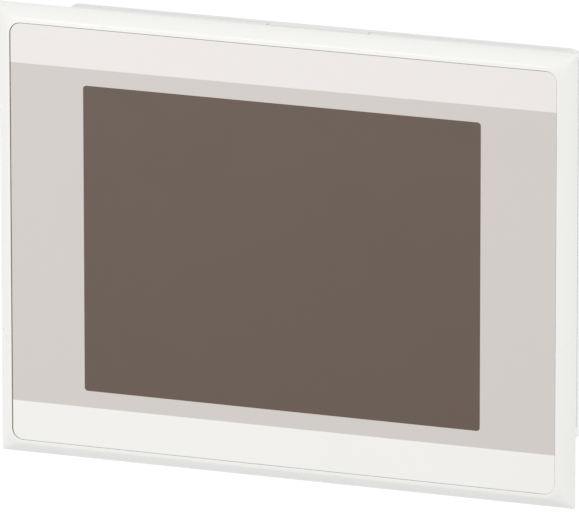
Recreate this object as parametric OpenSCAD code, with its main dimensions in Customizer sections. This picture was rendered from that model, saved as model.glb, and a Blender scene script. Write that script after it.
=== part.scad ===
// Panel-mounted operator touch panel, opened out into its separate pieces.
// X runs to the right as the operator sees it, Y into the cabinet and Z up.
// The origin is the middle of the panel cut-out, in the plane of the panel's front face.

/* [Front] */
// Width of the front frame
front_w = 170; // [168:1:210]
// Height of the front frame
front_h = 130; // [129:1:170]
// How far the film stands in front of the panel
front_proud = 5; // [4.6:0.1:6]
// Width of the white border between the film and the edge of the frame
rim_w = 4.75; // [4:0.25:6]
// Width of the flat part of that border, next to the film
rim_flat = 1.1; // [0.6:0.1:1.8]
// How far the front arris of the frame's edge stands in front of the panel
edge_proud = 0.9; // [0.7:0.1:1.5]
// How far the frame's back stands off the panel
seat_proud = 0.5; // [0.3:0.1:0.6]
// How much the sloping border bulges
border_bulge = 0.45; // [0.1:0.05:0.8]
// Width of the display window
window_w = 117; // [96:0.5:118]
// Height of the display window
window_h = 88.2; // [72:0.2:89]
// Corner radius of the film
film_r = 3; // [1:0.5:6]
// Corner radius of the display window
window_r = 1; // [0.5:0.5:3]

/* [Body behind the panel] */
// How far the frame overlaps the panel cut-out on each side
flange = 6.5; // [6:0.1:8]
// Play between the collar and the cut-out on each side
collar_gap = 0.3; // [0.2:0.1:0.6]
// How far the collar reaches behind the panel
collar_len = 6; // [5.2:0.1:6.4]
// How far the housing's sides stand in from the collar
side_step = 2.2; // [1.5:0.1:3]
// Distance from the panel to the housing's rear face
body_depth = 34; // [33:1:44]
// Thickness of the moulded walls
wall = 2; // [1.6:0.1:2.4]
// Radius of the housing's long corners
body_r = 3.5; // [3:0.5:6]
// How far the rear chamfer comes in from the sides and the top
rear_chamfer = 4; // [2:0.5:6]
// Depth over which the rear chamfer runs
chamfer_run = 5; // [3:0.5:6]
// Distance from the rear face to the line round the housing
seam_back = 7.5; // [7:0.5:10]

/* [Connector bay] */
// Height of the recess that the sockets open into
bay_h = 14.2; // [13:0.2:17]
// Depth of the housing in front of the recess
bay_front = 10; // [10:0.2:10.6]
// Gap between the corner posts and the recess's side walls
post_clear = 0.4; // [0.2:0.1:1.4]
// How far the cheeks stop above the housing's lowest edge
cheek_lift = 5.2; // [3:0.2:7]

/* [Front layers] */
// Thickness of the front film
film_t = 0.25; // [0.15:0.05:0.4]
// Thickness of the adhesive behind the film
glue_t = 0.1; // [0.05:0.05:0.2]
// Gap between the film and the frame
film_gap = 0.2; // [0.1:0.05:0.4]
// Thickness of the touch sensor's upper film
touch_film_t = 0.2; // [0.15:0.05:0.3]
// Thickness of the touch sensor's glass
touch_glass_t = 1.6; // [1.1:0.1:1.9]
// How far the touch sensor reaches past the window on each side
touch_margin = 7.5; // [6:0.5:7.5]
// Thickness of the dust gasket
dust_t = 0.8; // [0.5:0.1:1.2]
// Thickness of the panel gasket
gasket_t = 1.7; // [1.3:0.1:1.9]
// Width of the panel gasket's cord
gasket_w = 3; // [2:0.5:3]

/* [Display module] */
// How far the display module reaches past the window on each side
lcd_margin = 7; // [5:0.5:7]
// Thickness of the module's steel
lcd_steel_t = 0.4; // [0.3:0.1:0.6]
// Thickness of the display cell
cell_t = 1.7; // [1.2:0.1:2]
// Thickness of the diffuser sheet
diffuser_t = 0.6; // [0.3:0.1:0.8]
// Thickness of the light guide
guide_t = 3.2; // [2.6:0.1:3.4]
// Thickness of the tray's back
tray_back_t = 2.55; // [2:0.05:3]

/* [Boards and supports] */
// Thickness of the carrier plate
carrier_t = 1; // [0.8:0.1:1.2]
// Length of the spacers between the carrier plate and the main board
spacer_len = 4.6; // [4.4:0.1:5.4]
// Thickness of the main board
board_t = 1.6; // [1.4:0.1:2]
// Radius of the corner posts
post_r = 3.2; // [3:0.1:3.3]
// Shank radius of the rear screws
rear_screw_r = 1.5; // [1.2:0.1:1.6]

/* [Sockets, by distance from the middle] */
// Middle of the power header
power_x = -52; // [-54:0.5:-50]
// Middle of the reset switch
reset_x = -36.5; // [-37.5:0.5:-35.5]
// Middle of the network socket
network_x = -22; // [-24:0.5:-20]
// Middle of the USB device socket
device_x = -3; // [-5:0.5:-1]
// Middle of the USB host socket
host_x = 15.5; // [13:0.5:18]
// Middle of the serial socket
serial_x = 45; // [42:0.5:47]

/* [Moving pieces] */
// Travel of the reset button
reset_travel = 0.6; // [0.3:0.1:1]
// Radius of the reset button
reset_r = 1.75; // [1.2:0.05:2]
// Distance between the terminal's poles
pole_pitch = 5.08; // [4.9:0.01:5.3]
// Travel of the wire clamps
clamp_travel = 1.6; // [1:0.1:1.8]
// Length of the memory card
card_len = 32; // [28:0.5:34]
// Width of the memory card
card_w = 24; // [20:0.5:26]
// Thickness of the memory card
card_t = 2.1; // [1.4:0.1:2.4]
// How far the pushed-in memory card stands out of the housing
card_out = 1.6; // [1:0.2:4]

/* [Hidden] */

$fn = 48;

// Cutting tools reach this far past the face they open.
over = 1;
// Clearance of a screw's thread in its hole.
thread_gap = 0.02;
// Clearance of a moving piece in a guide that fits it.
slide_gap = 0.05;
// Clearance round a piece that passes an opening.
pass_gap = 0.3;
// Clearance round a socket in the housing.
port_gap = 0.2;

// Outline of the front and of the cut-out.
film_w = front_w - 2 * rim_w;
film_h = front_h - 2 * rim_w;
cut_w = front_w - 2 * flange;
cut_h = front_h - 2 * flange;
collar_w = cut_w - 2 * collar_gap;
collar_h = cut_h - 2 * collar_gap;

// Half sizes of the housing, outside and inside.
out_x = collar_w / 2 - side_step;
out_z = collar_h / 2;
in_x = out_x - wall;
in_z = out_z - wall;
in_r = 1;

// Layers from the front to the back.
film_y = -front_proud;
glue_y = film_y + film_t;
seat_y = glue_y + glue_t;
glass_y = seat_y + touch_film_t;
glass_back = glass_y + touch_glass_t;
lcd_y = glass_back + dust_t;
cell_y = lcd_y + lcd_steel_t;
diffuser_y = cell_y + cell_t;
guide_y = diffuser_y + diffuser_t;
tray_y = guide_y + guide_t;
carrier_y = tray_y + tray_back_t;
carrier_back = carrier_y + carrier_t;
board_y = carrier_back + spacer_len;
board_back = board_y + board_t;
rear_in = body_depth - wall;

// Recess for the sockets.
ceil_z = bay_h - out_z;
ceil_in = ceil_z + wall;
cheek_z = cheek_lift - out_z;

// Touch sensor and display module.
touch_w = window_w + 2 * touch_margin;
touch_h = window_h + 2 * touch_margin;
touch_gap = 0.15;
touch_back_w = window_w + 2;
dust_ring = 3;
lcd_w = window_w + 2 * lcd_margin;
lcd_h = window_h + 2 * lcd_margin;
lcd_wall_len = 6;
tray_gap = 0.1;
tray_w = lcd_w - 2 * lcd_steel_t - 2 * tray_gap;
tray_h = lcd_h - 2 * lcd_steel_t - 2 * tray_gap;
cell_margin = 3.5;
cell_w = window_w + 2 * cell_margin;
cell_h = window_h + 2 * cell_margin;
guide_margin = 1.5;
guide_w = window_w + 2 * guide_margin;
guide_h = window_h + 2 * guide_margin;
led_strip_h = 2.2;
led_strip_d = 2.6;
led_count = 9;
led_size = [3.2, 1.2, 1.4];

// Corner posts and the screws that come from the back.
lip_t = 0.9;
lip_gap = 0.15;
lip_len = 2;
post_play = 0.55;
post_x = in_x - post_r - lip_t - lip_gap - post_play;
post_top_z = out_z - rear_chamfer - 6.2;
post_low_z = ceil_z - 2;
bay_x = post_x - post_r - post_clear - wall;
post_end = 24;
post_spots = [[-post_x, post_top_z], [post_x, post_top_z], [-post_x, post_low_z], [post_x, post_low_z]];
rear_head_r = 2.8;
rear_head_t = 2.2;
rear_recess_r = rear_head_r + 0.5;
rear_recess_d = 5;
rear_boss_r = rear_recess_r + 1.5;
rear_grip = 14;
screw_seat_y = body_depth - rear_recess_d;
rear_screw_len = screw_seat_y - post_end + rear_grip;

// Carrier plate and its bosses.
carrier_x = in_x - 3;
carrier_z = in_z - 3.2;
boss_z = 22;
boss_r = 3;
boss_spots = [for (x = [-1, 1], z = [-1, 1]) [x * post_x, z * boss_z]];
small_screw_r = 1.25;
small_head_r = 2.5;
small_head_t = 1.6;
small_screw_len = 6;

// Main board.
board_x = in_x - 3;
board_top = in_z - 4;
board_low = ceil_in + 0.6;
notch_x = post_x - post_r - 0.6;
notch_top_z = post_top_z - post_r - 1.3;
notch_low_z = post_low_z + post_r + 1.3;
spacer_x = board_x - 9;
spacer_top_z = board_top - 5;
spacer_low_z = ceil_in + 15;
spacer_spots = [for (x = [-1, 1], z = [spacer_low_z, spacer_top_z]) [x * spacer_x, z]];
spacer_af = 5;
board_grip = 3.5;

// Ribbon of the touch sensor.
flex_t = 0.3;
flex_w = 12;
flex_z = 8;
flex_turn_x = notch_x + 1.6;
flex_socket_d = 1.6;
flex_socket_w = 4.5;
flex_socket_h = 15;
flex_socket_x = board_x - 9;
flex_end_y = board_y - 1;

// Ribbon and lead of the display module.
ribbon_t = 0.2;
ribbon_w = 30;
ribbon_low_z = -37;
ribbon_bend_z = [-34, -29];
ribbon_socket_z = -26;
ribbon_socket_h = 4;
lead_x = -40;
lead_r = 0.5;
lead_z = -34;
lead_y = carrier_back + 1.2;
lead_plug = [8, 4, 5.5];
lead_window = [[-46, -39], [18, -18]];

// Processor and its heat sink.
processor_at = [-10, 14];
processor_side = 27;
processor_t = 2.3;
sink_side = 29;
sink_base = 1.6;
sink_h = 9;
sink_fins = 9;
fin_t = 1;

// Pluggable power terminal.
poles = 3;
power_y = board_back + 6;
header_w = poles * pole_pitch + 3.4;
header_t = 12;
header_len = 12;
header_back = 2.5;
nose_w = header_w - 2.6;
nose_t = 8;
nose_len = 7.5;
plug_w = poles * pole_pitch + 2;
plug_low = 7;
plug_high = 7;
plug_len = 10.5;
plug_gap = 0.3;
pin_side = 1;
tube_side = 2.2;
bar_w = 2.6;
bar_t = 0.8;
clamp_w = 3.9;
clamp_d = 4;
clamp_plate = 1;
clamp_side = 0.45;
clamp_mid = ceil_z - plug_gap - plug_len / 2;
clamp_low = power_y - bar_t / 2 - pass_gap - clamp_plate;
clamp_top = power_y + bar_t / 2 + pass_gap + clamp_travel + clamp_plate;
wire_w = 3.2;
wire_h = 2.5;
clamp_screw_r = 1.25;
clamp_head_r = 1.9;
clamp_head_t = 1.4;
clamp_head_y = clamp_top + 1.2;
screw_hole_r = clamp_head_r + pass_gap;
lip_hole_r = 1.7;

// Reset switch.
switch_side = 7;
reset_y = board_back + switch_side / 2;
reset_low = ceil_z - 1;
reset_top = ceil_in + 4.5;

// Sheet thickness of the sockets' shells.
shell_t = 0.3;

// Network socket.
network_w = 16;
network_t = 13.4;
network_len = 21;
network_hole_w = 11.9;
network_hole_t = 6.9;
network_hole_d = 15;
network_hole_y = board_back + 3.2;
latch_w = 6.2;
latch_t = 2.6;
latch_d = 12;
wire_pitch = 1.02;
wire_side = 0.34;
wire_len = 9;
wire_rise = 14;

// USB sockets.
host_w = 13.1;
host_t = 5.7;
host_len = 14;
host_lift = 0.6;
host_root = 3;
usb_pitch = 2.25;
usb_contact = 1;
usb_contact_t = 0.3;
usb_set = 0.8;
host_tongue = [11.1, 1.84, 9];
device_w = 12;
device_t = 10.9;
device_len = 16;
device_hole = [8.45, 7.78];
device_hole_d = 9.5;
device_tongue = [5.6, 3.2, 8.6];

// Serial socket.
serial_y = board_back + 6.35;
serial_flange = [30.8, 12.5];
serial_flange_t = 0.8;
serial_d = [16.3, 7.9];
serial_d_len = 5.9;
serial_d_wall = 0.4;
serial_corner = 1;
serial_block = [24.9, 11, 8];
serial_pitch = 2.77;
serial_row = 2.84;
serial_hole_r = 0.55;
serial_hole_d = 5;
jack_spacing = 25;
jack_r = 1.42;
jack_af = 4.8;
jack_len = 5;
jack_depth = 4.4;

// Memory card and its socket.
card_z = -5;
card_y = board_back + 0.8;
card_in_x = out_x + card_out - card_len;
socket_rim = 2.2;
socket_t = card_t + 1.3;

// Coin cell.
cell_at = [30, 34];
coin_r = 10;
coin_t = 3.2;
holder_base = 1.4;
holder_r = coin_r + 1.8;

// Openings in the housing.
bracket_z = 35;
bracket_y = 12;
bracket_len = 10;
bracket_slot = 3.6;
vent_w = 2;
vent_pitch = 5;
vent_len = 12;
seam_y = body_depth - seam_back;
seam_w = 0.5;
seam_d = 0.4;
tab_w = 30;
tab_step = 2;
plate_w = 62;
plate_h = 38;
plate_z = 2;
plate_t = 0.15;
plate_recess = 0.2;
plate_gap = 0.3;

// ---------- shared shapes ----------

// The two ends of a size laid evenly about a middle.
function span(mid, size) = [mid - size / 2, mid + size / 2];

// A block between two corners.
module block(low, high) {
    translate(low)
        cube(high - low);
}

// A block centred on one X, with its depth and height given as pairs.
module slab(x, w, y, z) {
    translate([x - w / 2, y[0], z[0]])
        cube([w, y[1] - y[0], z[1] - z[0]]);
}

// A flat outline drawn in X and Z, from one depth to another.
module along_y(y0, y1) {
    translate([0, y1, 0])
        rotate([90, 0, 0])
            linear_extrude(y1 - y0)
                children();
}

// A flat outline drawn in Y and Z, from one side to another.
module along_x(x0, x1) {
    translate([x0, 0, 0])
        rotate([90, 0, 90])
            linear_extrude(x1 - x0)
                children();
}

// A round bar along Y.
module rod_y(x, z, r, y0, y1) {
    translate([x, y0, z])
        rotate([-90, 0, 0])
            cylinder(r = r, h = y1 - y0);
}

// A round bar along Z.
module rod_z(x, y, r, z0, z1) {
    translate([x, y, z0])
        cylinder(r = r, h = z1 - z0);
}

// A rectangle with round corners.
module round_rect(w, h, r) {
    square([w - 2 * r, h], center = true);
    square([w, h - 2 * r], center = true);
    for (x = [-1, 1], z = [-1, 1])
        translate([x * (w / 2 - r), z * (h / 2 - r)])
            circle(r);
}

// A round-cornered ring, given its outer size and its width.
module round_ring(w, h, r, ring) {
    difference() {
        round_rect(w, h, r);
        round_rect(w - 2 * ring, h - 2 * ring, max(r - ring, 0.5));
    }
}

// A screw along Y with its head towards the back and a cross recess in the head.
module screw_y(x, z, r, seat, len, head_r, head_t) {
    recess = head_r * 1.1;
    difference() {
        union() {
            rod_y(x, z, r, seat - len, seat + 0.2);
            rod_y(x, z, head_r, seat, seat + head_t);
        }
        for (a = [0, 90])
            translate([x, seat + head_t, z])
                rotate([0, a, 0])
                    cube([recess, head_t * 1.1, head_r * 0.28], center = true);
    }
}

// ---------- front ----------

// Points of the border's outline from the flat rim to the frame's edge, across the border.
function border_points(half, steps) =
    let (x0 = half - rim_w + rim_flat, y0 = film_y, x1 = half, y1 = -edge_proud)
    let (chord = norm([x1 - x0, y1 - y0]), r = chord * chord / (8 * border_bulge) + border_bulge / 2)
    let (across = [(y1 - y0) / chord, -(x1 - x0) / chord])
    let (mid = [(x0 + x1) / 2, (y0 + y1) / 2] - across * (r - border_bulge))
    let (a0 = atan2(y0 - mid[1], x0 - mid[0]), a1 = atan2(y1 - mid[1], x1 - mid[0]))
    [for (i = [0 : steps]) mid + r * [cos(a0 + (a1 - a0) * i / steps), sin(a0 + (a1 - a0) * i / steps)]];

// One direction of the frame's section: flat at the middle, sloping to both edges.
module border_section(half) {
    steps = 10;
    side = border_points(half, steps);
    other = [for (i = [0 : steps]) [-side[steps - i][0], side[steps - i][1]]];
    polygon(concat(other, side, [[half, -seat_proud], [-half, -seat_proud]]));
}

// The solid front: two sloped sections crossing, which mitres the corners.
module front_block() {
    intersection() {
        translate([0, 0, -front_h / 2])
            linear_extrude(front_h)
                border_section(front_w / 2);
        along_x(-front_w / 2, front_w / 2)
            rotate(90)
                mirror([0, 1])
                    border_section(front_h / 2);
    }
}

module post(x, z, r, hole_r, y1, hole_len) {
    difference() {
        rod_y(x, z, r, glass_back - 0.6, y1);
        rod_y(x, z, hole_r, y1 - hole_len, y1 + over);
    }
}

module front_frame() {
    groove_w = front_w - 2 * (flange - gasket_w) / 2;
    groove_h = front_h - 2 * (flange - gasket_w) / 2;
    color("#f0efec")
    difference() {
        union() {
            difference() {
                union() {
                    front_block();
                    along_y(-seat_proud - 0.2, collar_len)
                        round_rect(collar_w, collar_h, body_r);
                }
                along_y(film_y - over, seat_y)
                    round_rect(film_w + 2 * film_gap, film_h + 2 * film_gap, film_r);
                along_y(glass_back, collar_len + over)
                    round_rect(2 * in_x, 2 * in_z, in_r);
                along_y(-gasket_t, over)
                    round_ring(groove_w, groove_h, 2, gasket_w);
            }
            for (p = post_spots)
                post(p[0], p[1], post_r, rear_screw_r + thread_gap, post_end, rear_grip + 1);
            for (p = boss_spots)
                post(p[0], p[1], boss_r, small_screw_r + thread_gap, carrier_y, small_screw_len);
        }
        along_y(seat_y - over, glass_back)
            square([touch_w + 2 * touch_gap, touch_h + 2 * touch_gap], center = true);
    }
}

module front_film() {
    color("#d2ccc6")
        along_y(film_y, glue_y)
            round_rect(film_w, film_h, film_r);
}

module film_adhesive() {
    color("#c9c4b4")
        along_y(glue_y, seat_y)
            difference() {
                round_rect(film_w, film_h, film_r);
                round_rect(window_w, window_h, window_r);
            }
}

module touch_film() {
    color("#b9c3c8")
        along_y(seat_y, glass_y)
            square([touch_w, touch_h], center = true);
}

module touch_glass() {
    color("#a8bcc0")
        along_y(glass_y, glass_back)
            square([touch_w, touch_h], center = true);
}

module touch_flex() {
    start_x = window_w / 2 + dust_ring + 1;
    end_x = flex_socket_x;
    turn_out = flex_turn_x + flex_t;
    color("#b8792a")
        translate([0, 0, flex_z - flex_w / 2])
            linear_extrude(flex_w)
                polygon([
                    [start_x, glass_back], [turn_out, glass_back],
                    [turn_out, flex_end_y + flex_t], [end_x, flex_end_y + flex_t],
                    [end_x, flex_end_y], [flex_turn_x, flex_end_y],
                    [flex_turn_x, glass_back + flex_t], [start_x, glass_back + flex_t]
                ]);
}

module dust_gasket() {
    color("#3a3a3a")
        along_y(glass_back, lcd_y)
            round_ring(touch_back_w + 2 * dust_ring, window_h + 2 + 2 * dust_ring, 2, dust_ring);
}

module panel_gasket() {
    ring_w = front_w - 2 * (flange - gasket_w) / 2;
    ring_h = front_h - 2 * (flange - gasket_w) / 2;
    color("#2f2f2f")
        along_y(-gasket_t, 0)
            round_ring(ring_w, ring_h, 2, gasket_w);
}

// ---------- display module ----------

module lcd_bezel() {
    inside_w = lcd_w - 2 * lcd_steel_t;
    inside_h = lcd_h - 2 * lcd_steel_t;
    color("#b8babb")
    difference() {
        along_y(lcd_y, lcd_y + lcd_wall_len)
            square([lcd_w, lcd_h], center = true);
        along_y(cell_y, lcd_y + lcd_wall_len + over)
            square([inside_w, inside_h], center = true);
        along_y(lcd_y - over, cell_y + over)
            round_rect(window_w + 1.6, window_h + 1.6, window_r);
    }
}

module lcd_cell() {
    color("#5e544e")
        along_y(cell_y, diffuser_y)
            square([cell_w, cell_h], center = true);
}

module diffuser_sheet() {
    color("#eef0f0")
        along_y(diffuser_y, guide_y)
            square([guide_w, guide_h], center = true);
}

module light_guide() {
    led_room = led_strip_h + led_size[2] + 0.1;
    color("#dfe8e8")
        along_y(guide_y, tray_y)
            translate([-guide_w / 2, led_room - guide_h / 2])
                square([guide_w, guide_h - led_room]);
}

module led_bar() {
    led_step = guide_w / (led_count + 1);
    mid_y = (guide_y + tray_y) / 2;
    low = -guide_h / 2;
    led_rows = [low + led_strip_h - 0.1, low + led_strip_h + led_size[2]];
    color("#f3e6a8")
    union() {
        slab(0, guide_w - 4, span(mid_y, led_strip_d), [low, low + led_strip_h]);
        for (i = [1 : led_count])
            slab(i * led_step - guide_w / 2, led_size[0], span(mid_y, led_size[1]), led_rows);
    }
}

module lcd_tray() {
    rib_d = 1.2;
    rib_pitch = 24;
    color("#e9e9e4")
    difference() {
        along_y(cell_y, carrier_y)
            square([tray_w, tray_h], center = true);
        along_y(cell_y - over, diffuser_y)
            square([cell_w, cell_h], center = true);
        along_y(diffuser_y - over, tray_y)
            square([guide_w, guide_h], center = true);
        for (i = [-2 : 2])
            along_y(carrier_y - rib_d, carrier_y + over)
                translate([i * rib_pitch - 10, 6])
                    square([20, 32]);
    }
}

module lcd_flex() {
    mid = carrier_y + ribbon_t / 2;
    end = flex_end_y + ribbon_t / 2;
    path = [[mid, ribbon_low_z], [mid, ribbon_bend_z[0]], [end, ribbon_bend_z[1]], [end, ribbon_socket_z]];
    back = [for (i = [3 : -1 : 0]) path[i]];
    color("#c08a3c")
        along_x(-ribbon_w / 2, ribbon_w / 2)
            polygon(concat(
                [for (p = path) p - [ribbon_t / 2, 0]],
                [for (p = back) p + [ribbon_t / 2, 0]]
            ));
}

module backlight_lead() {
    plug_low_z = ribbon_socket_z - 1.5;
    color("#e8e4da")
    union() {
        for (s = [-1, 1]) {
            rod_y(lead_x + s, lead_z, lead_r, carrier_y, lead_y);
            translate([lead_x + s, lead_y, lead_z])
                sphere(lead_r);
            rod_z(lead_x + s, lead_y, lead_r, lead_z, plug_low_z + 0.2);
        }
        block([lead_x - lead_plug[0] / 2, board_y - lead_plug[1], plug_low_z],
              [lead_x + lead_plug[0] / 2, board_y, plug_low_z + lead_plug[2]]);
    }
}

// ---------- carrier plate, spacers and board ----------

// The corner notches that clear the posts.
module post_notches(half) {
    for (s = [-1, 1]) {
        translate([s > 0 ? notch_x : -half - over, notch_top_z])
            square([half + over - notch_x, 40]);
        translate([s > 0 ? notch_x : -half - over, notch_low_z - 40])
            square([half + over - notch_x, 40]);
    }
}

module carrier_plate() {
    color("#c3c6c8")
    difference() {
        along_y(carrier_y, carrier_back)
            difference() {
                square([2 * carrier_x, 2 * carrier_z], center = true);
                post_notches(carrier_x);
                translate(lead_window[0])
                    square(lead_window[1] - lead_window[0]);
                translate([notch_x + 0.9, flex_z - flex_w / 2 - 1])
                    square([carrier_x, flex_w + 2]);
            }
        for (p = boss_spots)
            rod_y(p[0], p[1], small_screw_r + 0.15, carrier_y - over, carrier_back + over);
    }
}

module carrier_screws() {
    color("#a9acae")
    for (p = boss_spots)
        screw_y(p[0], p[1], small_screw_r, carrier_back, small_screw_len - 0.5, small_head_r, small_head_t);
}

module board_spacers() {
    color("#c9a64a")
    for (p = spacer_spots)
        difference() {
            translate([p[0], carrier_back, p[1]])
                rotate([-90, 0, 0])
                    cylinder(d = spacer_af / cos(30), h = spacer_len, $fn = 6);
            rod_y(p[0], p[1], small_screw_r + thread_gap, board_y - board_grip - 0.5, board_y + over);
        }
}

module main_board() {
    color("#1f6b45")
    difference() {
        along_y(board_y, board_back)
            difference() {
                translate([-board_x, board_low])
                    square([2 * board_x, board_top - board_low]);
                post_notches(board_x);
            }
        for (p = spacer_spots)
            rod_y(p[0], p[1], small_screw_r + 0.2, board_y - over, board_back + over);
    }
}

module board_screws() {
    color("#a9acae")
    for (p = spacer_spots)
        screw_y(p[0], p[1], small_screw_r, board_back, board_t + board_grip, small_head_r, small_head_t);
}

module flex_sockets() {
    depth = [board_y - flex_socket_d, board_y];
    color("#e6dfc8")
    union() {
        slab(flex_socket_x - flex_socket_w / 2, flex_socket_w, depth, span(flex_z, flex_socket_h));
        slab(0, ribbon_w + 4, depth, [ribbon_socket_z, ribbon_socket_z + ribbon_socket_h]);
    }
}

// ---------- parts on the board ----------

// A flat chip standing on the board's back.
module chip(x, z, w, h, t) {
    block([x - w / 2, board_back, z - h / 2], [x + w / 2, board_back + t, z + h / 2]);
}

module processor() {
    color("#2b2b2d")
        chip(processor_at[0], processor_at[1], processor_side, processor_side, processor_t);
}

module heat_sink() {
    y0 = board_back + processor_t;
    step = (sink_side - fin_t) / (sink_fins - 1);
    x0 = processor_at[0] - sink_side / 2;
    z0 = processor_at[1] - sink_side / 2;
    color("#9aa0a4")
    union() {
        block([x0, y0, z0], [x0 + sink_side, y0 + sink_base, z0 + sink_side]);
        for (i = [0 : sink_fins - 1])
            slab(x0 + fin_t / 2 + i * step, fin_t, [y0, y0 + sink_h], [z0, z0 + sink_side]);
    }
}

module memory_chips() {
    color("#303033")
    union() {
        for (z = [4, 19])
            chip(15, z, 11, 13, 1.1);
        chip(-10, 39, 18, 12, 1.1);
        chip(8, 40, 12, 8, 1.1);
    }
}

module interface_chips() {
    color("#36363a")
    union() {
        chip(network_x, -13, 9, 9, 0.9);
        chip(network_x + 15, -15, 10, 7, 1.8);
        chip(serial_x - 16, -20, 8, 6, 1.6);
        chip(serial_x - 4, -23.5, 10, 7.5, 2.4);
        chip(host_x, -20, 5, 5, 0.9);
        chip(0, -8, 12, 6, 1.4);
    }
}

module power_parts() {
    can_r = 4;
    can_h = 10.5;
    color("#4a4f57")
    union() {
        for (z = [-14, -3, 8])
            rod_y(-62, z, can_r, board_back, board_back + can_h);
        for (z = [-15, 0])
            chip(-48, z, 11, 11, 4.5);
        chip(-47, 14, 9, 8, 2.4);
        chip(-35, -14, 6, 8, 1.8);
        chip(-36, 1, 7, 5, 2.2);
        chip(-50, 34, 12, 10, 5.5);
    }
}

// ---------- sockets in the recess ----------

// A sheet-metal shell open at the bottom.
module open_shell(x, w, y, len, sheet) {
    difference() {
        slab(x, w, y, [ceil_z, ceil_z + len]);
        slab(x, w - 2 * sheet, [y[0] + sheet, y[1] - sheet], [ceil_z - over, ceil_z + len - sheet]);
    }
}

module network_shell() {
    color("#c6c8ca")
        open_shell(network_x, network_w, [board_back, board_back + network_t], network_len, shell_t);
}

module network_insert() {
    low = ceil_z + shell_t;
    y0 = board_back + shell_t;
    y1 = board_back + network_t - shell_t;
    hole_top = network_hole_y + network_hole_t;
    color("#232326")
    union() {
        difference() {
            slab(network_x, network_w - 2 * shell_t, [y0, y1], [low, ceil_z + network_len - shell_t]);
            slab(network_x, network_hole_w, [network_hole_y, hole_top], [low - over, low + network_hole_d]);
            slab(network_x, latch_w, [hole_top - 0.1, hole_top + latch_t], [low - over, low + latch_d]);
        }
        for (i = [-3.5 : 1 : 3.5])
            translate([network_x + i * wire_pitch, network_hole_y - 0.1, low + network_hole_d - 1])
                rotate([wire_rise, 0, 0])
                    translate([-wire_side / 2, 0, -wire_len])
                        cube([wire_side, wire_side, wire_len]);
    }
}

module usb_host_shell() {
    y0 = board_back + host_lift;
    foot_w = 1;
    foot_h = 2;
    color("#c6c8ca")
    union() {
        open_shell(host_x, host_w, [y0, y0 + host_t], host_len, shell_t);
        for (s = [-1, 1], z = [ceil_in + foot_h, ceil_z + host_len - foot_h])
            slab(host_x + s * (host_w - foot_w) / 2, foot_w, [board_back, y0 + 0.1], span(z, foot_h));
    }
}

module usb_host_tongue() {
    y0 = board_back + host_lift + shell_t;
    root_z = ceil_z + host_len - shell_t - host_root;
    tongue_y = y0 + 2.5;
    tip_z = root_z - host_tongue[2];
    color("#f2f2f0")
    union() {
        slab(host_x, host_w - 2 * shell_t, [y0, y0 + host_t - 2 * shell_t], [root_z, root_z + host_root]);
        slab(host_x, host_tongue[0], [tongue_y, tongue_y + host_tongue[1]], [tip_z, root_z + 0.1]);
        for (i = [-1.5 : 1 : 1.5])
            slab(host_x + i * usb_pitch, usb_contact, span(tongue_y, usb_contact_t), [tip_z + usb_set, root_z]);
    }
}

module usb_device_shell() {
    mid_y = board_back + device_t / 2;
    color("#c6c8ca")
    difference() {
        slab(device_x, device_w, [board_back, board_back + device_t], [ceil_z, ceil_z + device_len]);
        slab(device_x, device_hole[0], span(mid_y, device_hole[1]),
             [ceil_z - over, ceil_z + device_hole_d]);
    }
}

module usb_device_tongue() {
    mid_y = board_back + device_t / 2;
    root_z = ceil_z + device_hole_d;
    tip_z = root_z - device_tongue[2];
    half = device_tongue[1] / 2;
    color("#f2f2f0")
    union() {
        slab(device_x, device_tongue[0], span(mid_y, device_tongue[1]), [tip_z, root_z]);
        for (i = [-1, 1], j = [-1, 1])
            slab(device_x + i * 1.25, usb_contact, span(mid_y + j * half, usb_contact_t), [tip_z + usb_set, root_z]);
    }
}

// The D-shaped outline of the serial socket, shrunk or grown by one value all round.
module d_outline(grow) {
    w = serial_d[0] / 2 + grow;
    h = serial_d[1] / 2 + grow;
    slope = serial_d[1] * tan(10);
    c = serial_corner;
    right = [[w - slope - c, -h], [w - slope, c - h], [w, h - c], [w - c, h]];
    left = [for (i = [3 : -1 : 0]) [-right[i][0], right[i][1]]];
    polygon(concat(right, left));
}

module along_serial(z0, z1) {
    translate([serial_x, serial_y, z0])
        linear_extrude(z1 - z0)
            children();
}

// The hole that one jack screw passes.
module jack_hole(side, r, z0, z1) {
    rod_z(serial_x + side * jack_spacing / 2, serial_y, r, z0, z1);
}

module serial_shell() {
    low = ceil_in - serial_d_len;
    color("#c9cbcd")
    difference() {
        union() {
            along_serial(ceil_in, ceil_in + serial_flange_t)
                square(serial_flange, center = true);
            along_serial(low, ceil_in + 0.1)
                d_outline(0);
        }
        along_serial(low - over, ceil_in + over)
            d_outline(-serial_d_wall);
        for (s = [-1, 1])
            jack_hole(s, jack_r + thread_gap, ceil_in - over, ceil_in + serial_flange_t + over);
    }
}

module serial_insert() {
    low = ceil_in - serial_d_len + 0.3;
    back_z = ceil_in + serial_flange_t;
    color("#1d1d1f")
    difference() {
        union() {
            along_serial(low, back_z + 0.1)
                d_outline(-serial_d_wall);
            along_serial(back_z, back_z + serial_block[2])
                square([serial_block[0], serial_block[1]], center = true);
            along_serial(back_z + 0.1, back_z + serial_block[2] - 2)
                translate([-6, -6.35])
                    square([12, 2]);
        }
        for (row = [[5, 0.5], [4, -0.5]], i = [1 : row[0]])
            rod_z(serial_x + (i - (row[0] + 1) / 2) * serial_pitch, serial_y + row[1] * serial_row,
                  serial_hole_r, low - over, low + serial_hole_d);
        for (s = [-1, 1])
            jack_hole(s, jack_r + pass_gap, back_z - over, back_z + 4);
    }
}

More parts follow.
